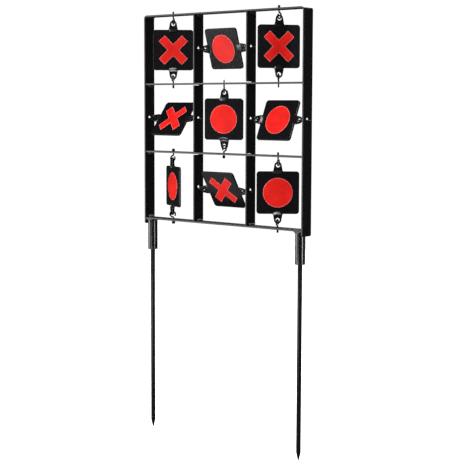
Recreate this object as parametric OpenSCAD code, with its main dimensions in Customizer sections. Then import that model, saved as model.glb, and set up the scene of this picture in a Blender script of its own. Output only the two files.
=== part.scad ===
// Spinning-target game frame: nine square plates hung in a three by three
// grid of flat bar, standing on two ground stakes.
// +X is to the right, the players stand on the -Y side, +Z is up.
// The origin is midway between the stake tips.

/* [Frame] */
// Spacing of the cells, middle of bar to middle of bar
cell = 127; // [122:1:140]
// Width of the flat bar, front to back
bar_w = 25; // [22:1:32]
// Thickness of the flat bar
bar_t = 3; // [2.5:0.1:3.4]
// Outside radius of the two bent top corners
bend_r = 6; // [4.5:0.5:12]
// How far the outer uprights run on below the middle of the bottom bar
leg_drop = 10; // [6:1:14]
// Corner radius at the lower ends of the outer uprights
leg_corner = 3; // [1:0.5:5]
// Height of the middle of the bottom bar above the stake tips
bar_z = 406.5; // [390:0.5:440]
// Set-back of the crossbars behind the front edges of the uprights
cross_back = 1.4; // [0.5:0.1:3]
// Depth of the front notches in the inner uprights
notch_d = 14.5; // [12:0.5:16]
// Height of the front notches in the inner uprights
notch_h = 4.4; // [4.1:0.1:6]

/* [Holes] */
// Diameter of the holes in the level bars
bar_hole = 5.4; // [4:0.1:5.8]
// Diameter of the holes in the uprights
upright_hole = 7; // [4.4:0.1:7.4]

/* [Targets] */
// Side of a square plate
plate = 75; // [70:1:76]
// Thickness of a plate
plate_t = 4; // [3:0.1:4.2]
// Corner radius of a plate
plate_r = 5.5; // [3:0.5:10]
// Width of an ear where it leaves the plate
ear_base = 17; // [15:0.5:20]
// Length of an ear beyond the plate's edge
ear_len = 16.8; // [16.2:0.1:17.4]
// Radius of the ear's rounded end
ear_r = 6.5; // [6:0.1:6.8]
// Diameter of the hole in an ear
ear_hole = 7; // [6.8:0.1:7.4]
// How far the ears step forward out of the plate
ear_step = 2.5; // [2:0.1:2.8]
// How far a plate's middle sits behind its spin axis, which puts the balance on the axis
plate_back = 0.17; // [0:0.01:0.3]
// Side length that the painted cross covers, tip to tip
cross_size = 54; // [40:1:60]
// Width of the arms of the cross
cross_arm = 15.5; // [10:0.5:20]
// Diameter of the painted disc
disc_d = 52; // [40:1:60]
// Thickness of the marks
mark_t = 0.3; // [0.2:0.05:0.5]
// How far the upright-axis plates hang below the middle of their cells
hang = 0.6; // [0.2:0.1:1]

/* [Hooks] */
// Diameter of the hook wire
wire = 2.8; // [2.4:0.1:3]
// Radius of the hook's loop, to the middle of the wire
loop_r = 5; // [4.9:0.05:5.2]
// How far the loop's middle is in front of the shank
loop_fwd = 1.5; // [1.3:0.1:2.2]
// Radius of the bend between shank and loop, to the middle of the wire
neck_r = 2.2; // [2:0.1:2.6]
// Turn of the loop out of square with the plate
loop_turn = 20; // [0:1:24]
// Width of the flattened end beyond the bar
blade_w = 6.2; // [6:0.1:7.4]
// Thickness of the flattened end
blade_t = 2.2; // [1.6:0.1:2.6]
// Length of the flattened end
blade_l = 5.2; // [4:0.1:7]

/* [Sockets and stakes] */
// Outside diameter of a socket tube
socket_d = 18; // [16:0.5:20]
// Length of a socket tube
socket_l = 58; // [45:1:70]
// How far the sockets sit in front of the middle of the bars
socket_fwd = 2.5; // [0:0.5:3]
// Diameter of a stake
stake_d = 8.5; // [7:0.5:10]
// Clearance between stake and socket, on the radius
stake_fit = 0.1; // [0.05:0.01:0.1]
// Diameter of the turned-down end of a stake, inside its socket
spigot_d = 7.8; // [6.5:0.1:8]
// Gap between a stake's shoulder and the lower end of its socket
shoulder_gap = 0.5; // [0.4:0.1:1]
// Length of the stake's point
point_l = 14; // [8:1:25]

/* [Stored pose] */
// Turn of target 1, top left
turn_1 = 42; // [-80:1:80]
// Tilt of target 2, top middle
turn_2 = 17; // [-60:1:60]
// Turn of target 3, top right
turn_3 = 52; // [-80:1:80]
// Tilt of target 4, middle left
turn_4 = -37; // [-60:1:60]
// Turn of target 5, centre
turn_5 = 19; // [-80:1:80]
// Tilt of target 6, middle right
turn_6 = -23; // [-60:1:60]
// Turn of target 7, bottom left
turn_7 = -27; // [-80:1:80]
// Tilt of target 8, bottom middle
turn_8 = 31; // [-60:1:60]
// Turn of target 9, bottom right
turn_9 = 40; // [-80:1:80]

/* [Hidden] */
$fn = 48;
e = 0.01;

black = [0.05, 0.05, 0.055];
red = [0.85, 0.1, 0.09];

half_w = 1.5 * cell;                  // middle of frame to middle of an outer upright
inner_x = half_w - bar_t / 2;         // inner face of an outer upright
top_z = bar_z + 3 * cell;             // middle of the top bar
socket_x = inner_x - socket_d / 2 - 0.2;
socket_top = bar_z - bar_t / 2;
stake_top = socket_top - 1;
shoulder_z = socket_top - socket_l - shoulder_gap;
side_drop = 1.25;                     // how far the level axes lie below the middle of their cells
side_hole_up = upright_hole / 2 - wire / 2 - 0.2 - side_drop; // the wire rests low in an upright's hole

// Targets 1 to 9: column, row, upright axis?, turn, ears forward?, cross in front?
T = [
    [-1,  1, true,  turn_1,  1, true],
    [ 0,  1, false, turn_2, -1, false],
    [ 1,  1, true,  turn_3,  1, true],
    [-1,  0, false, turn_4,  1, true],
    [ 0,  0, true,  turn_5, -1, false],
    [ 1,  0, false, turn_6,  1, false],
    [-1, -1, true,  turn_7,  1, false],
    [ 0, -1, false, turn_8,  1, true],
    [ 1, -1, true,  turn_9,  1, false]
];
function axis_z(i) = bar_z + (T[i][1] + 1.5) * cell - (T[i][2] ? hang : side_drop);

// Ear outline, measured from the plate's middle
edge = plate / 2;
tip_v = edge + ear_len;
hole_v = tip_v - ear_r;
step_in = edge - 6;
step_out = edge + 3;
function ease(t) = t <= 0 ? 0 : t >= 1 ? 1 : t * t * (3 - 2 * t);
function step_at(v) = ear_step * ease((v - step_in) / (step_out - step_in));
tan_d = norm([ear_base / 2, hole_v - edge]);
tan_a = atan2(edge - hole_v, ear_base / 2) + acos(ear_r / tan_d);

// Hook, measured from the plate's middle along the spin axis
loop_v = tip_v - 1.7;
neck_v = loop_v + sqrt(pow(loop_r + neck_r, 2) - pow(neck_r - loop_fwd, 2));
neck_a = atan2(neck_v - loop_v, neck_r - loop_fwd);
shank_v = cell / 2 + bar_t / 2 + 0.7; // just beyond the bar
loop_end = -215;                      // where the loop stops, clockwise
swell = 0.15;                         // the wire swells a little where its bends meet

module rounded(w, h, r) {
    square([w, h - 2 * r], center = true);
    square([w - 2 * r, h], center = true);
    for (x = [-1, 1], y = [-1, 1]) translate([x * (w / 2 - r), y * (h / 2 - r)]) circle(r);
}

// ---- frame ----

// Outline of the bent strip, top corners rounded, open at the bottom
module strip_outline() {
    h = top_z + bar_t / 2 - (bar_z - leg_drop);
    w = 2 * half_w + bar_t;
    difference() {
        union() {
            translate([-w / 2, 0]) square([w, h - bend_r]);
            translate([-w / 2 + bend_r, h - bend_r - e]) square([w - 2 * bend_r, bend_r + e]);
            for (s = [-1, 1]) translate([s * (w / 2 - bend_r), h - bend_r]) circle(bend_r);
        }
        union() {
            r = bend_r - bar_t;
            translate([-inner_x, -1]) square([2 * inner_x, h - bar_t - r + 1]);
            translate([-inner_x + r, h - bar_t - r - e]) square([2 * (inner_x - r), r + e]);
            for (s = [-1, 1]) translate([s * (inner_x - r), h - bar_t - r]) circle(r);
        }
    }
}

// A hole through a level bar at x
module drop_hole(x, z) translate([x, 0, z]) cylinder(d = bar_hole, h = bar_t + 4, center = true);
// A hole through an upright at x, for the target on this row
module side_hole(x, row) translate([x, 0, bar_z + (row + 1.5) * cell + side_hole_up])
    rotate([0, 90, 0]) cylinder(d = upright_hole, h = bar_t + 4, center = true);

module outer_frame() color(black) difference() {
    translate([0, bar_w / 2, bar_z - leg_drop]) rotate([90, 0, 0])
        linear_extrude(bar_w) strip_outline();
    for (x = [-cell, cell]) drop_hole(x, top_z);
    for (s = [-1, 1]) side_hole(s * half_w, 0);
    for (s = [-1, 1], y = [-1, 1])
        translate([s * half_w, y * bar_w / 2, bar_z - leg_drop]) rotate([0, 90, 0])
            linear_extrude(bar_t + 2, center = true) difference() {
                square(2 * leg_corner, center = true);
                translate([-leg_corner, -y * leg_corner]) circle(leg_corner);
            }
}

module inner_upright(s, up) color(black) difference() {
    translate([s * cell / 2 - bar_t / 2, -bar_w / 2, bar_z + bar_t / 2])
        cube([bar_t, bar_w, 3 * cell - bar_t]);
    // front notches, a little taller than the crossbars, with the spare room above or below them
    for (k = [1, 2]) {
        z = bar_z + k * cell;
        low = up ? -bar_t / 2 : bar_t / 2 - notch_h;
        translate([s * cell / 2 - bar_t, -bar_w / 2 - 1, z + low])
            cube([2 * bar_t, notch_d + 1, notch_h]);
    }
    for (row = [-1, 0, 1]) side_hole(s * cell / 2, row);
}
module inner_upright_left() inner_upright(-1, false);
module inner_upright_right() inner_upright(1, true);

module crossbar(k) color(black) difference() {
    translate([-inner_x, -bar_w / 2 + cross_back, bar_z + k * cell - bar_t / 2])
        cube([2 * inner_x, bar_w - cross_back, bar_t]);
    // rear notches that take the inner uprights
    for (s = [-1, 1])
        translate([s * cell / 2 - bar_t / 2 - 0.2, -bar_w / 2 + notch_d, bar_z + k * cell - bar_t])
            cube([bar_t + 0.4, bar_w, 2 * bar_t]);
    for (x = [-cell, 0, cell]) drop_hole(x, bar_z + k * cell);
}
module crossbar_upper() crossbar(2);
module crossbar_lower() crossbar(1);

module bottom_bar() color(black) difference() {
    translate([-inner_x, -bar_w / 2, bar_z - bar_t / 2]) cube([2 * inner_x, bar_w, bar_t]);
    for (x = [-cell, cell]) drop_hole(x, bar_z);
}

module socket_tube(s) color(black)
    translate([s * socket_x, -socket_fwd, socket_top - socket_l]) difference() {
        cylinder(d = socket_d, h = socket_l);
        translate([0, 0, -1]) cylinder(r = spigot_d / 2 + stake_fit, h = socket_l + 2);
    }
module socket_tube_left() socket_tube(-1);
module socket_tube_right() socket_tube(1);

// Fillet weld in a corner: toward +X and down from the corner, along Y
module bead(len, leg) rotate([90, 0, 0]) linear_extrude(len, center = true)
    polygon([[0, 0], [leg, 0], [leg * 0.42, -leg * 0.42], [0, -leg]]);

module frame_welds() color(black) {
    // crossbars and bottom bar to the outer uprights
    for (s = [-1, 1]) {
        for (k = [1, 2]) translate([s * -inner_x, 1.5, bar_z + k * cell - bar_t / 2])
            mirror([s < 0 ? 1 : 0, 0, 0]) bead(15, 5);
        translate([s * -inner_x, 1.5, bar_z + bar_t / 2])
            mirror([s < 0 ? 1 : 0, 0, 0]) mirror([0, 0, 1]) bead(15, 4.5);
    }
    // inner uprights to the top and bottom bars, both sides
    for (s = [-1, 1], q = [0, 1]) {
        x = s * cell / 2 + (q == 0 ? bar_t / 2 : -bar_t / 2);
        translate([x, 1.5, bar_z + bar_t / 2]) mirror([q, 0, 0]) mirror([0, 0, 1]) bead(15, 4);
        translate([x, 1.5, top_z - bar_t / 2]) mirror([q, 0, 0]) bead(15, 4);
    }
}

// Ring weld round the top of each socket, cut off at the upright and at the bar's edges
module socket_welds() color(black) for (s = [-1, 1]) difference() {
    translate([s * socket_x, -socket_fwd, socket_top]) rotate_extrude()
        polygon([[socket_d / 2, 0], [socket_d / 2 + 3, 0], [socket_d / 2 + 1.2, -1.4], [socket_d / 2, -3.4]]);
    translate([s * (inner_x + 10), 0, socket_top]) cube([20, 60, 20], center = true);
    translate([s * socket_x, -bar_w / 2 - 10, socket_top]) cube([60, 20, 20], center = true);
}

// ---- stakes ----

module stake(s) color(black) translate([s * socket_x, -socket_fwd, 0]) rotate_extrude()
    polygon([
        [0, 0], [0.9, 0], [1.3, 0.5], [stake_d / 2 - 0.3, point_l - 1.5], [stake_d / 2, point_l],
        [stake_d / 2, shoulder_z], [spigot_d / 2, shoulder_z],
        [spigot_d / 2, stake_top - 1], [spigot_d / 2 - 1, stake_top], [0, stake_top]
    ]);
module stake_left() stake(-1);
module stake_right() stake(1);

// ---- targets ----
// Each is drawn with its spin axis on Z and its front face toward -Y.

module ear_outline() {
    t = [ear_r * cos(tan_a), hole_v + ear_r * sin(tan_a)];
    polygon([[-ear_base / 2, step_in - e], [ear_base / 2, step_in - e], [ear_base / 2, edge],
        [t[0], t[1]], [-t[0], t[1]], [-ear_base / 2, edge]]);
    translate([0, hole_v]) circle(ear_r);
}

// Side view of the stepped strip that an ear is cut from
module step_outline() {
    n = 10;
    v = [for (i = [0:n]) step_in + (step_out - step_in) * i / n];
    polygon(concat(
        [[-plate_t / 2, step_in - e]],
        [for (z = v) [-plate_t / 2 - step_at(z), z]],
        [[-plate_t / 2 - ear_step, tip_v + 1], [plate_t / 2 - ear_step, tip_v + 1]],
        [for (i = [0:n]) let (z = v[n - i]) [plate_t / 2 - step_at(z), z]],
        [[plate_t / 2, step_in - e]]));
}

module ear() difference() {
    intersection() {
        rotate([90, 0, 0]) linear_extrude(20, center = true) ear_outline();
        rotate([0, 0, 90]) rotate([90, 0, 0]) linear_extrude(30, center = true) step_outline();
    }
    translate([0, 0, hole_v]) rotate([90, 0, 0]) cylinder(d = ear_hole, h = 20, center = true);
}

module plate_body() {
    difference() {
        rotate([90, 0, 0]) linear_extrude(plate_t, center = true) rounded(plate, plate, plate_r);
        for (m = [0, 1]) mirror([0, 0, m])
            translate([-ear_base / 2, -10, step_in]) cube([ear_base, 20, 20]);
    }
    ear();
    mirror([0, 0, 1]) ear();
}

module cross_mark() intersection() {
    union() {
        rotate(45) square([cross_size * 2, cross_arm], center = true);
        rotate(-45) square([cross_size * 2, cross_arm], center = true);
    }
    rotate(45) square(cross_size * sqrt(2) - cross_arm, center = true);
}

module disc_mark() circle(disc_d / 2, $fn = 96);

module mark_pair(cross_front) {
    translate([0, -plate_t / 2, 0]) rotate([90, 0, 0]) linear_extrude(mark_t)
        if (cross_front) cross_mark(); else disc_mark();
    translate([0, plate_t / 2 + mark_t, 0]) rotate([90, 0, 0]) linear_extrude(mark_t)
        if (cross_front) disc_mark(); else cross_mark();
}

// One hook in the XZ plane: shank up the Z axis, loop toward +X, flattened outer end
module hook_form() {
    r = wire / 2;
    bends = 3;
    turn = (neck_a - loop_end) / bends;
    // loop in three bends, clockwise from the neck to its cut end
    for (k = [0:bends - 1]) {
        translate([loop_fwd, 0, loop_v]) rotate([90, 0, 0])
            rotate([0, 0, loop_end + k * turn + (k > 0 ? 0.3 : 0)]) rotate_extrude(angle = turn - (k > 0 ? 0.6 : 0.3))
                translate([loop_r, 0]) circle(r);
        t = loop_end + (k + 1) * turn;
        translate([loop_fwd + loop_r * cos(t), 0, loop_v + loop_r * sin(t)]) sphere(r + swell);
    }
    // neck
    translate([neck_r, 0, neck_v]) rotate([90, 0, 0])
        rotate([0, 0, 180.5]) rotate_extrude(angle = neck_a - 1)
            translate([neck_r, 0]) circle(r);
    translate([0, 0, neck_v]) sphere(r + swell);
    // shank
    translate([0, 0, neck_v + 0.02]) cylinder(r = r, h = shank_v - neck_v + 1);
    // flattened end
    translate([0, 0, shank_v + blade_l / 2]) rotate([90, 0, 0])
        linear_extrude(blade_t, center = true) rounded(blade_w, blade_l, 1.2);
}

// end is 1 at the top or right, -1 at the bottom or left
module hook(end) rotate([0, 0, end * loop_turn - 90])
    rotate([end > 0 ? 0 : 180, 0, 0]) hook_form();

// Places a target's parts: i counts from 0
module place(i) {
    t = T[i];
    translate([t[0] * cell, 0, axis_z(i)])
        rotate(t[2] ? [0, 0, t[3]] : [t[3], 0, 0]) rotate([0, t[2] ? 0 : 90, 0])
            rotate([0, 0, t[4] > 0 ? 0 : 180]) children();
}

module target_plate(i) color(black) place(i) translate([0, plate_back, 0]) plate_body();
module target_marks(i) color(red) place(i) translate([0, plate_back, 0])
    mark_pair(T[i][4] > 0 ? T[i][5] : !T[i][5]);
module target_hook(i, end) color(black) place(i) hook(end);

module plate_1() target_plate(0);
module plate_2() target_plate(1);
module plate_3() target_plate(2);
module plate_4() target_plate(3);
module plate_5() target_plate(4);
module plate_6() target_plate(5);
module plate_7() target_plate(6);
module plate_8() target_plate(7);
module plate_9() target_plate(8);
module marks_1() target_marks(0);
module marks_2() target_marks(1);
module marks_3() target_marks(2);
module marks_4() target_marks(3);
module marks_5() target_marks(4);
module marks_6() target_marks(5);
module marks_7() target_marks(6);
module marks_8() target_marks(7);
module marks_9() target_marks(8);
module hook_1_top() target_hook(0, 1);
module hook_1_bottom() target_hook(0, -1);
module hook_2_left() target_hook(1, -1);
module hook_2_right() target_hook(1, 1);
module hook_3_top() target_hook(2, 1);
module hook_3_bottom() target_hook(2, -1);
module hook_4_left() target_hook(3, -1);
module hook_4_right() target_hook(3, 1);
module hook_5_top() target_hook(4, 1);
module hook_5_bottom() target_hook(4, -1);
module hook_6_left() target_hook(5, -1);
module hook_6_right() target_hook(5, 1);
module hook_7_top() target_hook(6, 1);
module hook_7_bottom() target_hook(6, -1);
module hook_8_left() target_hook(7, -1);
module hook_8_right() target_hook(7, 1);
module hook_9_top() target_hook(8, 1);
module hook_9_bottom() target_hook(8, -1);

outer_frame();
inner_upright_left();
inner_upright_right();
crossbar_upper();
crossbar_lower();
bottom_bar();
socket_tube_left();
socket_tube_right();
frame_welds();
socket_welds();
stake_left();
stake_right();
plate_1();
plate_2();
plate_3();
plate_4();
plate_5();
plate_6();
plate_7();
plate_8();
plate_9();
marks_1();
marks_2();
marks_3();
marks_4();
marks_5();
marks_6();
marks_7();
marks_8();
marks_9();
hook_1_top();
hook_1_bottom();
hook_2_left();
hook_2_right();
hook_3_top();
hook_3_bottom();
hook_4_left();
hook_4_right();
hook_5_top();
hook_5_bottom();
hook_6_left();
hook_6_right();
hook_7_top();
hook_7_bottom();
hook_8_left();
hook_8_right();
hook_9_top();
hook_9_bottom();
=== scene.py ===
import bpy
import bmesh
import math
import random
from mathutils import Matrix, Vector


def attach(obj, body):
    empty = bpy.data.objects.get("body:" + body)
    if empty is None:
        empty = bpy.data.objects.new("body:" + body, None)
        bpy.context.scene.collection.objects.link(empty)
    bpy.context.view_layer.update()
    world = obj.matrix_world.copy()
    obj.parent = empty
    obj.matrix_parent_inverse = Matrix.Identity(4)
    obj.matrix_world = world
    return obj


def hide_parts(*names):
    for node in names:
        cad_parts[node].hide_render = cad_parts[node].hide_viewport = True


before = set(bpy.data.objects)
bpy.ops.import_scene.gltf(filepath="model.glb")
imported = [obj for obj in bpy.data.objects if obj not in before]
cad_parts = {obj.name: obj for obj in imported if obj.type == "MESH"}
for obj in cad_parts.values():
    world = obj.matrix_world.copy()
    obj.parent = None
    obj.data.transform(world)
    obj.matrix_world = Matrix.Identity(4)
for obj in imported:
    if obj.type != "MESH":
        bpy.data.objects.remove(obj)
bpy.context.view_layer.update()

MM = 0.001

# ---------------------------------------------------------------- dimensions, millimetres, as in part.scad
CELL = 127.0
BAR_W, BAR_T = 25.0, 3.0
BEND_R = 6.0
LEG_DROP, LEG_CORNER = 10.0, 3.0
BAR_Z = 406.5
CROSS_BACK = 1.4
NOTCH_D, NOTCH_H = 14.5, 4.4
BAR_HOLE, UP_HOLE = 5.4, 7.0
PLATE, PLATE_T, PLATE_R = 75.0, 4.0, 5.5
EAR_BASE, EAR_LEN, EAR_R, EAR_HOLE, EAR_STEP = 17.0, 16.8, 6.5, 7.0, 2.5
PLATE_BACK = 0.17
CROSS_SIZE, CROSS_ARM, DISC_D, MARK_T = 54.0, 15.5, 52.0, 0.3
HANG = 0.6
WIRE, LOOP_R, LOOP_FWD, NECK_R, LOOP_TURN = 2.8, 5.0, 1.5, 2.2, 20.0
BLADE_W, BLADE_T, BLADE_L = 6.2, 2.2, 5.2
SOCKET_D, SOCKET_L, SOCKET_FWD = 18.0, 58.0, 2.5
STAKE_D, STAKE_FIT, POINT_L = 8.5, 0.1, 14.0
SPIGOT_D, SHOULDER_GAP = 7.8, 0.5
TURNS = [42, 17, 52, -37, 19, -23, -27, 31, 40]
TARGETS = [
    (-1, 1, True, 1, True), (0, 1, False, -1, False), (1, 1, True, 1, True),
    (-1, 0, False, 1, True), (0, 0, True, -1, False), (1, 0, False, 1, False),
    (-1, -1, True, 1, False), (0, -1, False, 1, True), (1, -1, True, 1, False),
]  # column, row, upright axis, ears forward, cross in front

HALF_W = 1.5 * CELL
INNER_X = HALF_W - BAR_T / 2
TOP_Z = BAR_Z + 3 * CELL
SOCKET_X = INNER_X - SOCKET_D / 2 - 0.2
SOCKET_TOP = BAR_Z - BAR_T / 2
STAKE_TOP = SOCKET_TOP - 1
SHOULDER_Z = SOCKET_TOP - SOCKET_L - SHOULDER_GAP
SIDE_DROP = 1.25
SIDE_HOLE_UP = UP_HOLE / 2 - WIRE / 2 - 0.2 - SIDE_DROP
EDGE = PLATE / 2
TIP_V = EDGE + EAR_LEN
HOLE_V = TIP_V - EAR_R
STEP_IN, STEP_OUT = EDGE - 6, EDGE + 3
LOOP_V = TIP_V - 1.7
NECK_V = LOOP_V + math.sqrt((LOOP_R + NECK_R) ** 2 - (NECK_R - LOOP_FWD) ** 2)
NECK_A = math.atan2(NECK_V - LOOP_V, NECK_R - LOOP_FWD)
SHANK_V = CELL / 2 + BAR_T / 2 + 0.7
LOOP_END = math.radians(-215)


def axis_z(i):
    return BAR_Z + (TARGETS[i][1] + 1.5) * CELL - (HANG if TARGETS[i][2] else SIDE_DROP)


def place(i):
    """Matrix from a target's own axes to the row frame, in millimetres."""
    c, r, up, ear, _ = TARGETS[i]
    m = Matrix.Translation((c * CELL, 0, axis_z(i)))
    m = m @ Matrix.Rotation(math.radians(TURNS[i]), 4, "Z" if up else "X")
    if not up:
        m = m @ Matrix.Rotation(math.radians(90), 4, "Y")
    if ear < 0:
        m = m @ Matrix.Rotation(math.pi, 4, "Z")
    return m


# ---------------------------------------------------------------- mesh helpers
def ease(t):
    t = max(0.0, min(1.0, t))
    return t * t * (3 - 2 * t)


def arc(cx, cy, r, a0, a1, n):
    return [(cx + r * math.cos(math.radians(a0 + (a1 - a0) * k / n)),
             cy + r * math.sin(math.radians(a0 + (a1 - a0) * k / n))) for k in range(n + 1)]


def circle(cx, cy, r, n=40):
    return [(cx + r * math.cos(2 * math.pi * k / n), cy + r * math.sin(2 * math.pi * k / n)) for k in range(n)]


def fillet(points, n=6):
    """points: (x, y, radius). Rounds each corner of a closed polygon that has a radius."""
    out, m = [], len(points)
    for i in range(m):
        x, y, r = points[i]
        p = Vector((x, y))
        if r <= 0:
            out.append((x, y))
            continue
        a = Vector(points[i - 1][:2]) - p
        b = Vector(points[(i + 1) % m][:2]) - p
        a.normalize(); b.normalize()
        half = a.angle(b) / 2
        if half > math.radians(89.5):
            out.append((x, y))
            continue
        d = r / math.tan(half)
        c = p + (a + b).normalized() * (r / math.sin(half))
        s, e = p + a * d - c, p + b * d - c
        t0, t1 = math.atan2(s.y, s.x), math.atan2(e.y, e.x)
        dt = (t1 - t0 + math.pi) % (2 * math.pi) - math.pi
        for k in range(n + 1):
            t = t0 + dt * k / n
            out.append((c.x + r * math.cos(t), c.y + r * math.sin(t)))
    return out


def sheet_mesh(loops, thick, bevel, res=3):
    """A flat bar or plate in the XY plane: the loops filled (holes cut), thick along Z, edges rounded."""
    cu = bpy.data.curves.new("tmp", "CURVE")
    cu.dimensions = "2D"
    cu.fill_mode = "BOTH"
    cu.extrude = thick / 2 - bevel
    cu.bevel_depth = bevel
    cu.bevel_resolution = res
    cu.offset = -bevel
    for loop in loops:
        sp = cu.splines.new("POLY")
        sp.points.add(len(loop) - 1)
        for p, (x, y) in zip(sp.points, loop):
            p.co = (x, y, 0, 1)
        sp.use_cyclic_u = True
    ob = bpy.data.objects.new("tmp", cu)
    bpy.context.scene.collection.objects.link(ob)
    dg = bpy.context.evaluated_depsgraph_get()
    dg.update()
    me = bpy.data.meshes.new_from_object(ob.evaluated_get(dg))
    bpy.data.objects.remove(ob)
    bpy.data.curves.remove(cu)
    bm = bmesh.new()
    bm.from_mesh(me)
    bpy.data.meshes.remove(me)
    bmesh.ops.remove_doubles(bm, verts=bm.verts, dist=1e-4)
    loose = [v for v in bm.verts if not v.link_faces]
    bmesh.ops.delete(bm, geom=loose, context="VERTS")
    # one face where the fill left many flat triangles
    bmesh.ops.dissolve_limit(bm, angle_limit=math.radians(0.05), verts=bm.verts, edges=bm.edges)
    return bm


def cut(bm, axis, values, keep=None):
    """Adds edge loops where planes across the axis cross the mesh."""
    no = Vector((0, 0, 0)); no[axis] = 1
    for v in values:
        co = Vector((0, 0, 0)); co[axis] = v
        geom = [f for f in bm.faces if keep is None or keep(f)]
        es = {e for f in geom for e in f.edges}
        vs = {w for f in geom for w in f.verts}
        bmesh.ops.bisect_plane(bm, geom=list(geom) + list(es) + list(vs), plane_co=co, plane_no=no, dist=1e-5)


def finish_mesh(bm, name, body, mats, replaces=(), matrix=None, sharp=35, tri=True):
    """Turns a bmesh in millimetres into a piece in metres that rides on a body."""
    if matrix is not None:
        bm.transform(matrix)
    bm.transform(Matrix.Scale(MM, 4))
    bm.normal_update()
    if tri:
        big = [f for f in bm.faces if len(f.verts) > 4]
        if big:
            bmesh.ops.triangulate(bm, faces=big, quad_method="BEAUTY", ngon_method="EAR_CLIP")
    bmesh.ops.recalc_face_normals(bm, faces=bm.faces)
    me = bpy.data.meshes.new(name)
    bm.to_mesh(me)
    bm.free()
    me.shade_smooth()
    me.set_sharp_from_angle(angle=math.radians(sharp))
    ob = bpy.data.objects.new(name, me)
    bpy.context.scene.collection.objects.link(ob)
    for m in mats:
        me.materials.append(m)
    wn = ob.modifiers.new("normals", "WEIGHTED_NORMAL")
    wn.keep_sharp = True
    wn.weight = 80
    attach(ob, body)
    if replaces:
        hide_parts(*replaces)
    return ob


def lathe(profile, n=96, cx=0.0, cy=0.0):
    """profile: (radius, z) from bottom to top; closed where it starts and ends on the axis, or onto itself."""
    bm = bmesh.new()
    rings = []
    for r, z in profile:
        if r < 1e-6:
            rings.append([bm.verts.new((cx, cy, z))])
        else:
            rings.append([bm.verts.new((cx + r * math.cos(2 * math.pi * k / n), cy + r * math.sin(2 * math.pi * k / n), z))
                          for k in range(n)])
    closed = profile[0][0] > 1e-6
    pairs = list(zip(rings, rings[1:])) + ([(rings[-1], rings[0])] if closed else [])
    for a, b in pairs:
        for k in range(n):
            q = (k + 1) % n
            if len(a) == 1:
                bm.faces.new((a[0], b[q], b[k]))
            elif len(b) == 1:
                bm.faces.new((a[k], a[q], b[0]))
            else:
                bm.faces.new((a[k], a[q], b[q], b[k]))
    return bm


# ---------------------------------------------------------------- materials
def nodes_of(name):
    m = bpy.data.materials.new(name)
    m.use_nodes = True
    nt = m.node_tree
    for n in list(nt.nodes):
        nt.nodes.remove(n)
    out = nt.nodes.new("ShaderNodeOutputMaterial")
    bsdf = nt.nodes.new("ShaderNodeBsdfPrincipled")
    nt.links.new(bsdf.outputs["BSDF"], out.inputs["Surface"])
    co = nt.nodes.new("ShaderNodeTexCoord")
    return m, nt, bsdf, co.outputs["Object"]


def noise(nt, vec, scale, detail=2.0, rough=0.5, w=None):
    n = nt.nodes.new("ShaderNodeTexNoise")
    n.inputs["Scale"].default_value = scale
    n.inputs["Detail"].default_value = detail
    n.inputs["Roughness"].default_value = rough
    nt.links.new(vec, n.inputs["Vector"])
    return n.outputs["Fac"]


def ramp(nt, fac, stops):
    n = nt.nodes.new("ShaderNodeValToRGB")
    els = n.color_ramp.elements
    while len(els) < len(stops):
        els.new(0.5)
    for e, (p, c) in zip(els, stops):
        e.position = p
        e.color = (*c, 1.0)
    nt.links.new(fac, n.inputs["Fac"])
    return n.outputs["Color"]


def spread(nt, fac, lo, hi, f0=0.3, f1=0.7):
    n = nt.nodes.new("ShaderNodeMapRange")
    n.inputs["From Min"].default_value = f0
    n.inputs["From Max"].default_value = f1
    n.inputs["To Min"].default_value = lo
    n.inputs["To Max"].default_value = hi
    nt.links.new(fac, n.inputs["Value"])
    return n.outputs["Result"]


def bump(nt, bsdf, heights, normal_in="Normal"):
    """heights: (height socket, strength, distance in metres), stacked."""
    prev = None
    for h, s, d in heights:
        b = nt.nodes.new("ShaderNodeBump")
        b.inputs["Strength"].default_value = s
        b.inputs["Distance"].default_value = d
        nt.links.new(h, b.inputs["Height"])
        if prev is not None:
            nt.links.new(prev, b.inputs["Normal"])
        prev = b.outputs["Normal"]
    nt.links.new(prev, bsdf.inputs[normal_in])


def black_coat(name, dark, light, r_lo, r_hi, grain, depth, spec=0.5):
    """Black powder coat: near-black with faint mottling, an orange-peel skin and slightly uneven gloss."""
    m, nt, b, vec = nodes_of(name)
    broad = noise(nt, vec, 45, 3, 0.55)
    fine = noise(nt, vec, 1400, 2, 0.5)
    mix = nt.nodes.new("ShaderNodeMath"); mix.operation = "MULTIPLY_ADD"
    mix.inputs[1].default_value = 0.35
    nt.links.new(fine, mix.inputs[0])
    half = nt.nodes.new("ShaderNodeMath"); half.operation = "MULTIPLY"; half.inputs[1].default_value = 0.65
    nt.links.new(broad, half.inputs[0])
    nt.links.new(half.outputs[0], mix.inputs[2])
    nt.links.new(ramp(nt, mix.outputs[0], [(0.30, dark), (0.70, light)]), b.inputs["Base Color"])
    nt.links.new(spread(nt, noise(nt, vec, 160, 3, 0.6), r_lo, r_hi), b.inputs["Roughness"])
    peel = noise(nt, vec, grain, 1.5, 0.45)
    bump(nt, b, [(peel, 0.35, depth), (fine, 0.18, depth * 0.4)])
    b.inputs["Specular IOR Level"].default_value = spec
    b.inputs["IOR"].default_value = 1.5
    return m


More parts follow.
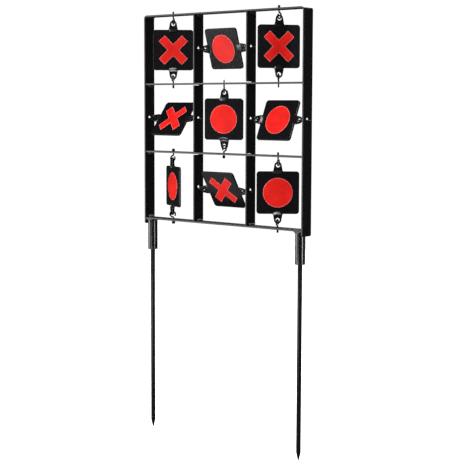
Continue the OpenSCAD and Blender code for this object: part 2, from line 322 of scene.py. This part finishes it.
def red_paint(name, dark, light, r_lo, r_hi, spec=0.4):
    """Sprayed red paint: slight unevenness in depth, and a fine skin."""
    m, nt, b, vec = nodes_of(name)
    broad = noise(nt, vec, 38, 4, 0.6)
    nt.links.new(ramp(nt, broad, [(0.32, dark), (0.68, light)]), b.inputs["Base Color"])
    nt.links.new(spread(nt, noise(nt, vec, 240, 3, 0.6), r_lo, r_hi), b.inputs["Roughness"])
    bump(nt, b, [(noise(nt, vec, 900, 2, 0.5), 0.25, 0.00006), (noise(nt, vec, 3200, 1, 0.5), 0.15, 0.00003)])
    b.inputs["Specular IOR Level"].default_value = spec
    return m


M_FRAME = black_coat("frame_coat", (0.0020, 0.0020, 0.0023), (0.0042, 0.0042, 0.0047), 0.27, 0.34, 520, 0.00008)
M_PLATE = black_coat("target_coat", (0.0018, 0.0018, 0.0023), (0.0036, 0.0036, 0.0045), 0.22, 0.28, 420, 0.00005)
M_HOOK = black_coat("hook_coat", (0.0022, 0.0022, 0.0025), (0.0040, 0.0040, 0.0044), 0.24, 0.32, 700, 0.00003, 0.22)
M_TUBE = black_coat("tube_coat", (0.0014, 0.0014, 0.0016), (0.0028, 0.0028, 0.0032), 0.19, 0.22, 180, 0.000004, 0.8)
M_STAKE = black_coat("stake_coat", (0.0016, 0.0016, 0.0018), (0.0032, 0.0032, 0.0036), 0.22, 0.27, 180, 0.000005, 0.15)
M_WELD = black_coat("weld_coat", (0.0022, 0.0022, 0.0026), (0.0046, 0.0046, 0.0052), 0.27, 0.36, 700, 0.00008)
M_RED = red_paint("mark_red", (0.64, 0.008, 0.006), (0.80, 0.016, 0.011), 0.34, 0.44, 0.25)
M_RIM = red_paint("mark_rim", (0.72, 0.12, 0.11), (0.84, 0.20, 0.18), 0.34, 0.44, 0.25)

# ---------------------------------------------------------------- frame


def bend_strip():
    """The bent strip, made flat, then rolled up round its two top corners."""
    r = BEND_R - BAR_T / 2  # radius of the strip's middle
    leg = TOP_Z + BAR_T / 2 - BEND_R - (BAR_Z - LEG_DROP)  # straight part of a leg
    top = 2 * (HALF_W + BAR_T / 2 - BEND_R)
    bend = r * math.pi / 2
    total = 2 * leg + 2 * bend + top
    c = LEG_CORNER
    h = BAR_W / 2
    # s runs along the strip from the left leg's lower end
    outline = arc(c, -h + c, c, 270, 180, 6)[::-1]
    outline = arc(total - c, -h + c, c, 270, 360, 6) + arc(total - c, h - c, c, 0, 90, 6) \
        + arc(c, h - c, c, 90, 180, 6) + arc(c, -h + c, c, 180, 270, 6)
    mid = BAR_Z + 1.5 * CELL + SIDE_HOLE_UP
    s_side = mid - (BAR_Z - LEG_DROP)
    s_top = leg + bend
    holes = [circle(s_side, 0, UP_HOLE / 2), circle(total - s_side, 0, UP_HOLE / 2),
             circle(s_top + (-CELL + top / 2), 0, BAR_HOLE / 2), circle(s_top + (CELL + top / 2), 0, BAR_HOLE / 2)]
    bm = sheet_mesh([outline] + holes, BAR_T, 0.5)
    n = 14
    cuts = [leg + bend * k / n for k in range(n + 1)] + [leg + bend + top + bend * k / n for k in range(n + 1)]
    cut(bm, 0, cuts)
    x0 = -HALF_W - BAR_T / 2 + BEND_R
    for v in bm.verts:
        s, y, t = v.co  # t: thickness, outward when positive
        if s <= leg:
            p = (-HALF_W - t, BAR_Z - LEG_DROP + s)
        elif s <= leg + bend:
            a = math.pi - (s - leg) / r
            p = (x0 + (r + t) * math.cos(a), TOP_Z + BAR_T / 2 - BEND_R + (r + t) * math.sin(a))
        elif s <= leg + bend + top:
            p = (x0 + (s - leg - bend), TOP_Z + t)
        elif s <= leg + 2 * bend + top:
            a = math.pi / 2 - (s - leg - bend - top) / r
            p = (-x0 + (r + t) * math.cos(a), TOP_Z + BAR_T / 2 - BEND_R + (r + t) * math.sin(a))
        else:
            p = (HALF_W + t, BAR_Z - LEG_DROP + (total - s))
        v.co = (p[0], y, p[1])
    return finish_mesh(bm, "bent_strip", "frame", [M_FRAME], ["outer_frame"])


def upright(name, s, up):
    """Flat in XY as (y, z), then stood at its place."""
    h = BAR_W / 2
    z0, z1 = BAR_T / 2, 3 * CELL - BAR_T / 2
    pts = [(h, z0, 0.3), (h, z1, 0.3), (-h, z1, 0.3)]
    for k in (2, 1):
        low = -BAR_T / 2 if up else BAR_T / 2 - NOTCH_H
        zl, zh = k * CELL + low, k * CELL + low + NOTCH_H
        pts += [(-h, zh, 0.5), (-h + NOTCH_D, zh, 0.35), (-h + NOTCH_D, zl, 0.35), (-h, zl, 0.5)]
    pts += [(-h, z0, 0.3)]
    loops = [fillet(pts)] + [circle(0, (row + 1.5) * CELL + SIDE_HOLE_UP, UP_HOLE / 2) for row in (-1, 0, 1)]
    bm = sheet_mesh(loops, BAR_T, 0.5)
    # local (x, y, z) -> row (thickness, y, z)
    m = Matrix(((0, 0, 1, s * CELL / 2), (1, 0, 0, 0), (0, 1, 0, BAR_Z), (0, 0, 0, 1)))
    return finish_mesh(bm, name + "_bar", "frame", [M_FRAME], [name], m)


def crossbar(name, k):
    h = BAR_W / 2
    pts = [(-INNER_X, -h + CROSS_BACK, 0.3), (INNER_X, -h + CROSS_BACK, 0.3), (INNER_X, h, 0.3)]
    for s in (1, -1):
        w = BAR_T / 2 + 0.2
        pts += [(s * CELL / 2 + w, h, 0.5), (s * CELL / 2 + w, -h + NOTCH_D, 0.35),
                (s * CELL / 2 - w, -h + NOTCH_D, 0.35), (s * CELL / 2 - w, h, 0.5)]
    pts += [(-INNER_X, h, 0.3)]
    loops = [fillet(pts)] + [circle(x, 0, BAR_HOLE / 2) for x in (-CELL, 0, CELL)]
    bm = sheet_mesh(loops, BAR_T, 0.5)
    m = Matrix.Translation((0, 0, BAR_Z + k * CELL))
    return finish_mesh(bm, name + "_bar", "frame", [M_FRAME], [name], m)


def bottom():
    h = BAR_W / 2
    pts = [(-INNER_X, -h, 0.3), (INNER_X, -h, 0.3), (INNER_X, h, 0.3), (-INNER_X, h, 0.3)]
    bm = sheet_mesh([fillet(pts)] + [circle(x, 0, BAR_HOLE / 2) for x in (-CELL, CELL)], BAR_T, 0.5)
    return finish_mesh(bm, "bottom_bar_bar", "frame", [M_FRAME], ["bottom_bar"], Matrix.Translation((0, 0, BAR_Z)))


bend_strip()
upright("inner_upright_left", -1, False)
upright("inner_upright_right", 1, True)
crossbar("crossbar_upper", 2)
crossbar("crossbar_lower", 1)
bottom()

# ---------------------------------------------------------------- welds
rng = random.Random(11)


def bead(bm, origin, sx, sz, length, leg, seed):
    """A weld bead along Y in the corner at origin, growing to sx in X and sz in Z."""
    r = random.Random(seed)
    n, m = int(length / 0.3), 10
    ph = r.uniform(0, 6.28)
    wob = [r.uniform(-1, 1) for _ in range(8)]
    rows = []
    for j in range(n + 1):
        y = -length / 2 + length * j / n
        e = min(1.0, (length / 2 - abs(y)) / (leg * 0.55))
        taper = math.sqrt(max(0.0, 1 - (1 - e) ** 2)) * 0.75 + 0.25
        q = (y / length + 0.5) * 7
        k = min(6, int(q))
        slow = wob[k] * (1 - (q - k)) + wob[k + 1] * (q - k)
        row = [bm.verts.new((origin[0], origin[1] + y, origin[2]))]
        for i in range(m + 1):
            t = i / m
            a = math.sin(math.pi * t)
            rip = 0.055 * math.sin(2 * math.pi * (y + 0.9 * a) / 1.9 + ph)
            L = leg * taper * (1 + 0.07 * slow + rip * (0.35 + 0.65 * a))
            x, z = L * (1 - t), L * t
            d = 0.17 * L * a
            row.append(bm.verts.new((origin[0] + sx * (x + d * 0.7), origin[1] + y, origin[2] + sz * (z + d * 0.7))))
        rows.append(row)
    for a, b in zip(rows, rows[1:]):
        for i in range(len(a)):
            q = (i + 1) % len(a)
            bm.faces.new((a[i], a[q], b[q], b[i]))
    bm.faces.new(rows[0])
    bm.faces.new(rows[-1][::-1])


wm = bmesh.new()
seed = 1
for s in (-1, 1):
    for k in (1, 2):
        bead(wm, (s * INNER_X, 1.5, BAR_Z + k * CELL - BAR_T / 2), -s, -1, 15, 5, seed); seed += 1
    bead(wm, (s * INNER_X, 1.5, BAR_Z + BAR_T / 2), -s, 1, 15, 4.5, seed); seed += 1
for s in (-1, 1):
    for q in (1, -1):
        x = s * CELL / 2 + q * BAR_T / 2
        bead(wm, (x, 1.5, BAR_Z + BAR_T / 2), q, 1, 15, 4, seed); seed += 1
        bead(wm, (x, 1.5, TOP_Z - BAR_T / 2), q, -1, 15, 4, seed); seed += 1
finish_mesh(wm, "frame_weld_beads", "frame", [M_WELD], ["frame_welds"], sharp=50)

sm = bmesh.new()
for s in (-1, 1):
    r = random.Random(40 + s)
    n, m = 200, 10
    wob = [r.uniform(-1, 1) for _ in range(12)]
    rows = []
    for j in range(n):
        a = 2 * math.pi * j / n
        q = j / n * 12
        k = int(q)
        slow = wob[k] * (1 - (q - k)) + wob[(k + 1) % 12] * (q - k)
        row = []
        corner = (SOCKET_D / 2 - 0.3, SOCKET_TOP + 0.0)
        pts = [corner]
        for i in range(m + 1):
            t = i / m
            b = math.sin(math.pi * t)
            rip = 0.06 * math.sin(2 * math.pi * (j / n * 34 + 0.4 * b))
            L = 3.0 * (1 + 0.08 * slow + rip * (0.3 + 0.7 * b))
            pts.append((SOCKET_D / 2 + L * (1 - t) + 0.12 * L * b, SOCKET_TOP - L * t - 0.12 * L * b))
        for rad, z in pts:
            x = SOCKET_X + rad * math.cos(a)
            y = -SOCKET_FWD + rad * math.sin(a)
            x = min(x, INNER_X - 0.02)
            y = max(-BAR_W / 2 + 0.3, min(BAR_W / 2 - 0.3, y))
            row.append(sm.verts.new((s * x, y, z)))
        rows.append(row)
    for j in range(n):
        a, b = rows[j], rows[(j + 1) % n]
        for i in range(len(a)):
            q = (i + 1) % len(a)
            sm.faces.new((a[i], a[q], b[q], b[i]))
finish_mesh(sm, "socket_weld_rings", "frame", [M_WELD], ["socket_welds"], sharp=50)

# ---------------------------------------------------------------- sockets and stakes
for s, side in ((-1, "left"), (1, "right")):
    ro, ri = SOCKET_D / 2, SPIGOT_D / 2 + STAKE_FIT
    z0, z1 = SOCKET_TOP - SOCKET_L, SOCKET_TOP
    prof = [(ri, z0 + 0.8)] + [(ri + 0.8 - 0.8 * math.cos(t), z0 + 0.8 - 0.8 * math.sin(t)) for t in (0.4, 0.8, 1.2, math.pi / 2)]
    prof += [(ro - 1.0 + 1.0 * math.sin(t), z0 + 1.0 - 1.0 * math.cos(t)) for t in (0, 0.3, 0.6, 0.9, 1.2, math.pi / 2)]
    prof += [(ro, z0 + (z1 - z0) * f) for f in (0.25, 0.5, 0.75)]
    prof += [(ro, z1 - 0.3), (ro - 0.3, z1), (ri + 0.3, z1), (ri, z1 - 0.3)]
    bm = lathe(prof, 96, s * SOCKET_X, -SOCKET_FWD)
    finish_mesh(bm, "socket_%s" % side, "frame", [M_TUBE], ["socket_tube_" + side], sharp=40)

    r = STAKE_D / 2
    prof = [(0, 0), (0.55, 0.08), (0.95, 0.32), (1.3, 0.8)]
    for k in range(1, 12):
        t = k / 12
        # a forged point: slightly swelling sides, then a soft shoulder
        prof.append((1.3 + (r - 1.3) * (t ** 0.92) - 0.12 * math.sin(math.pi * t), 0.8 + (POINT_L - 0.8) * t))
    prof += [(r - 0.03, POINT_L + 0.3), (r, POINT_L + 1.2)]
    prof += [(r, POINT_L + (SHOULDER_Z - POINT_L) * f) for f in (0.1, 0.25, 0.4, 0.55, 0.7, 0.85, 0.95)]
    prof += [(r, SHOULDER_Z - 0.15), (r - 0.12, SHOULDER_Z)]
    r = SPIGOT_D / 2
    prof += [(r + 0.02, SHOULDER_Z), (r, SHOULDER_Z + 0.1)]
    prof += [(r, SHOULDER_Z + (STAKE_TOP - SHOULDER_Z) * f) for f in (0.25, 0.5, 0.75)]
    prof += [(r, STAKE_TOP - 1.2), (r - 0.25, STAKE_TOP - 0.5), (r - 0.7, STAKE_TOP - 0.1), (r - 1.2, STAKE_TOP), (0, STAKE_TOP)]
    bm = lathe(prof, 64, s * SOCKET_X, -SOCKET_FWD)
    finish_mesh(bm, "ground_stake_%s" % side, side + "_stake", [M_STAKE], ["stake_" + side], sharp=40)

# ---------------------------------------------------------------- targets
TAN_D = math.hypot(EAR_BASE / 2, HOLE_V - EDGE)
TAN_A = math.degrees(math.atan2(EDGE - HOLE_V, EAR_BASE / 2) + math.acos(EAR_R / TAN_D))


def plate_outline():
    """Plate with its two ears, counter-clockwise, in the plate's own plane."""
    e, b = EDGE, EAR_BASE / 2
    root = fillet([(e - PLATE_R, e, 0), (b, e, 1.6), (EAR_R * math.cos(math.radians(TAN_A)), HOLE_V + EAR_R * math.sin(math.radians(TAN_A)), 0), (0, 0, 0)], 5)
    root = root[1:-2]
    right_top = arc(e - PLATE_R, e - PLATE_R, PLATE_R, 0, 90, 10)
    tip = arc(0, HOLE_V, EAR_R, TAN_A, 180 - TAN_A, 28)
    top = right_top + root + tip + [(-x, y) for x, y in root[::-1]] + [(-x, y) for x, y in right_top[::-1]]
    return top + [(-x, -y) for x, y in top]


def joggle(u, v):
    """How far the sheet steps forward here: the ears are pressed forward with an arched root."""
    a = abs(v)
    start = STEP_IN + 3.0 * (min(abs(u), 8.5) / 8.5) ** 2.4
    t = ease((a - start) / (STEP_OUT - start))
    side = 1.0
    if a < EDGE + 1.2:
        side = 1 - ease((abs(u) - 6.6) / 3.4)
        blend = ease((a - EDGE) / 1.2)
        side = side + (1 - side) * blend
    return EAR_STEP * t * side


def plate_bm():
    loops = [plate_outline(), circle(0, HOLE_V, EAR_HOLE / 2, 32), circle(0, -HOLE_V, EAR_HOLE / 2, 32)]
    bm = sheet_mesh(loops, PLATE_T, 0.6, 3)
    near = lambda f: any(abs(v.co.y) > STEP_IN - 1 for v in f.verts)
    steps = [STEP_IN - 0.6 + 0.75 * k for k in range(int((STEP_OUT - STEP_IN + 1.2) / 0.75) + 1)]
    cut(bm, 1, steps + [-s for s in steps], near)
    zone = lambda f: all(abs(v.co.y) > STEP_IN - 0.7 and abs(v.co.y) < STEP_OUT + 0.8 for v in f.verts)
    cut(bm, 0, [k * 1.0 - 11 for k in range(23)], zone)
    for v in bm.verts:
        x, y, z = v.co
        # local (u, v, thickness) -> (x, y, z) with the front face at -y
        v.co = (x, -z - joggle(x, y), y)
    return bm


def plus_outline(d):
    a = (CROSS_SIZE * math.sqrt(2) - CROSS_ARM) / 2 - d
    b = CROSS_ARM / 2 - d
    r = max(0.05, 0.7 - d)
    pts = [(a, -b, r), (a, b, r), (b, b, 0.25 + d), (b, a, r), (-b, a, r), (-b, b, 0.25 + d), (-a, b, r), (-a, -b, r), (-b, -b, 0.25 + d),
           (-b, -a, r), (b, -a, r), (b, -b, 0.25 + d)]
    c = math.sqrt(0.5)
    return [((x - y) * c, (x + y) * c) for x, y in fillet(pts, 5)]


def disc_outline(d):
    return circle(0, 0, DISC_D / 2 - d, 128)


def add_mark(bm, outline, front):
    """A coat of paint: raised edge, a thin paler band, then the field."""
    rim = 0.8
    steps = [(0.0, 0.0, 1), (0.0, MARK_T * 0.6, 1), (0.10, MARK_T * 0.9, 1), (0.28, MARK_T, 1), (rim, MARK_T, 1), (rim + 0.12, MARK_T * 0.9, 0)]
    y0 = -PLATE_T / 2 if front else PLATE_T / 2
    sg = -1 if front else 1
    loops = []
    for d, h, mi in steps:
        loops.append(([bm.verts.new((x, y0 + sg * h, z)) for x, z in outline(d)], mi))
    for (a, _), (b, mi) in zip(loops, loops[1:]):
        for k in range(len(a)):
            q = (k + 1) % len(a)
            f = bm.faces.new((a[k], a[q], b[q], b[k]))
            f.material_index = mi
    f = bm.faces.new(loops[-1][0]); f.material_index = 0
    f = bm.faces.new(loops[0][0][::-1]); f.material_index = 1


def hook_bm():
    """Wire swept along loop, neck and shank, its end swaged flat."""
    path = []  # centre point, tangent, half-width in the hook's plane, half-thickness
    r = WIRE / 2
    n = 54
    for k in range(n + 1):
        a = LOOP_END + (NECK_A - LOOP_END) * k / n
        path.append(((LOOP_FWD + LOOP_R * math.cos(a), LOOP_V + LOOP_R * math.sin(a)), (-math.sin(a), math.cos(a)), r, r))
    n = 14
    for k in range(1, n + 1):
        a = math.pi + NECK_A * (1 - k / n)
        path.append(((NECK_R + NECK_R * math.cos(a), NECK_V + NECK_R * math.sin(a)), (math.sin(a), -math.cos(a)), r, r))
    z0, z1 = NECK_V, SHANK_V
    for k in range(1, 6):
        path.append(((0, z0 + (z1 - 0.5 - z0) * k / 5), (0, 1), r, r))
    for k in range(1, 13):
        t = k / 12
        e = ease(t)
        path.append(((0, z1 - 0.5 + 1.2 * t), (0, 1), r + (BLADE_W / 2 - r) * e, r + (BLADE_T / 2 - r) * e))
    top = z1 + BLADE_L
    for k in range(1, 6):
        path.append(((0, z1 + 0.7 + (top - 1.2 - z1 - 0.7) * k / 5), (0, 1), BLADE_W / 2, BLADE_T / 2))
    for k in range(1, 7):
        a = k / 6 * math.pi / 2 * 0.92
        path.append(((0, top - 1.2 + 1.2 * math.sin(a)), (0, 1), BLADE_W / 2 - 1.3 * (1 - math.cos(a)), BLADE_T / 2 - 0.75 * (1 - math.cos(a))))
    # rounded free end, before the loop
    first = path[0]
    lead = []
    for k in range(6, 0, -1):
        a = k / 6 * math.pi / 2 * 0.9
        d = 0.7 * math.sin(a)
        s = r - 0.7 * (1 - math.cos(a))
        lead.append(((first[0][0] - first[1][0] * d, first[0][1] - first[1][1] * d), first[1], s, s))
    # the rounding stays within the wire's length
    path = lead + path[0:]
    bm = bmesh.new()
    seg = 24
    rings = []
    for (px, pz), (tx, tz), hw, ht in path:
        nx, nz = tz, -tx  # in-plane normal
        flat = max(0.0, min(1.0, (hw - r) / (BLADE_W / 2 - r))) if hw > r else 0.0
        p = 2 + 2.4 * flat
        ring = []
        for k in range(seg):
            a = 2 * math.pi * k / seg
            ca, sa = math.cos(a), math.sin(a)
            f = (abs(ca) ** p + abs(sa) ** p) ** (-1 / p)
            u, w = hw * ca * f, ht * sa * f
            ring.append(bm.verts.new((px + nx * u, w, pz + nz * u)))
        rings.append(ring)
    for a, b in zip(rings, rings[1:]):
        for k in range(seg):
            q = (k + 1) % seg
            bm.faces.new((a[k], a[q], b[q], b[k]))
    bm.faces.new(rings[0][::-1])
    bm.faces.new(rings[-1])
    return bm


def hook_place(end):
    m = Matrix.Rotation(math.radians(end * LOOP_TURN - 90), 4, "Z")
    if end < 0:
        m = m @ Matrix.Rotation(math.pi, 4, "X")
    return m


for i in range(9):
    c, row, up, ear, cross_front = TARGETS[i]
    body = "target_%d" % (i + 1)
    M = place(i)
    shift = Matrix.Translation((0, PLATE_BACK, 0))
    finish_mesh(plate_bm(), "%s_plate" % body, body, [M_PLATE], ["plate_%d" % (i + 1)], M @ shift, sharp=30)
    front = cross_front if ear > 0 else not cross_front
    bm = bmesh.new()
    add_mark(bm, plus_outline if front else disc_outline, True)
    add_mark(bm, disc_outline if front else plus_outline, False)
    finish_mesh(bm, "%s_marks" % body, body, [M_RED, M_RIM], ["marks_%d" % (i + 1)], M @ shift, sharp=30)
    a, b = ("top", "bottom") if up else ("right", "left")
    finish_mesh(hook_bm(), "%s_hook_%s" % (body, a), body, [M_HOOK], ["hook_%d_%s" % (i + 1, a)], M @ hook_place(1), sharp=50)
    finish_mesh(hook_bm(), "%s_hook_%s" % (body, b), body, [M_HOOK], ["hook_%d_%s" % (i + 1, b)], M @ hook_place(-1), sharp=50)

# ---------------------------------------------------------------- floor, world and light
fm = bpy.data.meshes.new("floor")
fb = bmesh.new()
R = 3.2
ring = [fb.verts.new((R * math.cos(2 * math.pi * k / 96), R * math.sin(2 * math.pi * k / 96), -0.0006)) for k in range(96)]
fb.faces.new(ring)
fb.to_mesh(fm); fb.free()
floor = bpy.data.objects.new("floor", fm)
bpy.context.scene.collection.objects.link(floor)
m, nt, b, vec = nodes_of("floor_white")
nt.links.new(ramp(nt, noise(nt, vec, 6, 3, 0.5), [(0.3, (0.86, 0.86, 0.86)), (0.7, (0.90, 0.90, 0.90))]), b.inputs["Base Color"])
b.inputs["Roughness"].default_value = 0.9
b.inputs["Specular IOR Level"].default_value = 0.1
b.inputs["Emission Color"].default_value = (1, 1, 1, 1)
b.inputs["Emission Strength"].default_value = 1.0
# white to the camera; to everything else a soft patch of bounced light that fades with distance
dist = nt.nodes.new("ShaderNodeVectorMath"); dist.operation = "LENGTH"
nt.links.new(vec, dist.inputs[0])
glow = nt.nodes.new("ShaderNodeEmission")
glow.inputs["Color"].default_value = (0.97, 0.97, 1.0, 1)
nt.links.new(spread(nt, dist.outputs["Value"], 0.42, 0.01, 0.6, 1.4), glow.inputs["Strength"])
ray = nt.nodes.new("ShaderNodeLightPath")
pick = nt.nodes.new("ShaderNodeMixShader")
nt.links.new(ray.outputs["Is Camera Ray"], pick.inputs[0])
nt.links.new(glow.outputs[0], pick.inputs[1])
nt.links.new(b.outputs["BSDF"], pick.inputs[2])
nt.links.new(pick.outputs[0], [n for n in nt.nodes if n.type == "OUTPUT_MATERIAL"][0].inputs["Surface"])
fm.materials.append(m)

world = bpy.data.worlds.new("studio")
bpy.context.scene.world = world
world.use_nodes = True
wt = world.node_tree
for n in list(wt.nodes):
    wt.nodes.remove(n)
wo = wt.nodes.new("ShaderNodeOutputWorld")
bg_cam = wt.nodes.new("ShaderNodeBackground")
bg_cam.inputs["Color"].default_value = (1, 1, 1, 1)
bg_cam.inputs["Strength"].default_value = 1.05
bg_env = wt.nodes.new("ShaderNodeBackground")
bg_env.inputs["Color"].default_value = (0.93, 0.95, 1.0, 1)
bg_env.inputs["Strength"].default_value = 0.045
lp = wt.nodes.new("ShaderNodeLightPath")
mx = wt.nodes.new("ShaderNodeMixShader")
wt.links.new(lp.outputs["Is Camera Ray"], mx.inputs[0])
wt.links.new(bg_env.outputs[0], mx.inputs[1])
wt.links.new(bg_cam.outputs[0], mx.inputs[2])
wt.links.new(mx.outputs[0], wo.inputs["Surface"])


def area(name, loc, target, sx, sy, power, colour=(1, 1, 1)):
    li = bpy.data.lights.new(name, "AREA")
    li.shape = "RECTANGLE"
    li.size, li.size_y = sx, sy
    li.energy = power
    li.color = colour
    ob = bpy.data.objects.new(name, li)
    ob.location = loc
    ob.rotation_mode = "QUATERNION"
    ob.rotation_quaternion = (Vector(target) - Vector(loc)).to_track_quat("-Z", "Y")
    bpy.context.scene.collection.objects.link(ob)
    return ob


area("overhead", (0.0, 0.35, 2.6), (0, 0, 0.5), 2.2, 1.6, 55)
area("key_high", (0.80, -2.00, 2.35), (0, 0, 0.55), 1.9, 0.6, 68)
area("front_left", (-1.84, -1.54, 0.56), (0, 0, 0.56), 1.7, 1.05, 27)
area("low_card", (-0.12, -0.86, 0.03), (0, 0, 0.66), 0.8, 0.34, 9)
area("strip_right", (2.30, 0.04, 0.42), (0, 0, 0.42), 0.60, 0.78, 15)
area("strip_left", (-2.2, 1.2, 0.9), (0, 0, 0.5), 0.35, 1.8, 10)
area("back_soft", (-0.7, 2.3, 2.2), (0, 0, 0.5), 1.6, 1.0, 45)

# ---------------------------------------------------------------- camera
cam_data = bpy.data.cameras.new("camera")
cam = bpy.data.objects.new("camera", cam_data)
bpy.context.scene.collection.objects.link(cam)
bpy.context.scene.camera = cam
cam_data.sensor_width = 36.0
cam_data.sensor_fit = "HORIZONTAL"
cam_data.lens = 36.0 * 1284.8 / 465.0
cam_data.clip_start, cam_data.clip_end = 0.1, 60.0
yaw, pitch, roll = math.radians(41.37), math.radians(5.69), math.radians(0.19)
right = Vector((math.cos(yaw), math.sin(yaw), 0))
level = Vector((-math.sin(yaw), math.cos(yaw), 0))
fwd = level * math.cos(pitch) - Vector((0, 0, 1)) * math.sin(pitch)
upv = Vector((0, 0, 1)) * math.cos(pitch) + level * math.sin(pitch)
rot = Matrix((right, upv, -fwd)).transposed()
cam.rotation_mode = "QUATERNION"
cam.rotation_quaternion = (rot @ Matrix.Rotation(roll, 3, "Z")).to_quaternion()
cam.location = (1.5536, -1.7397, (216.4 + BAR_Z) * MM)

bpy.context.scene.view_settings.view_transform = "Standard"
bpy.context.scene.view_settings.look = "None"
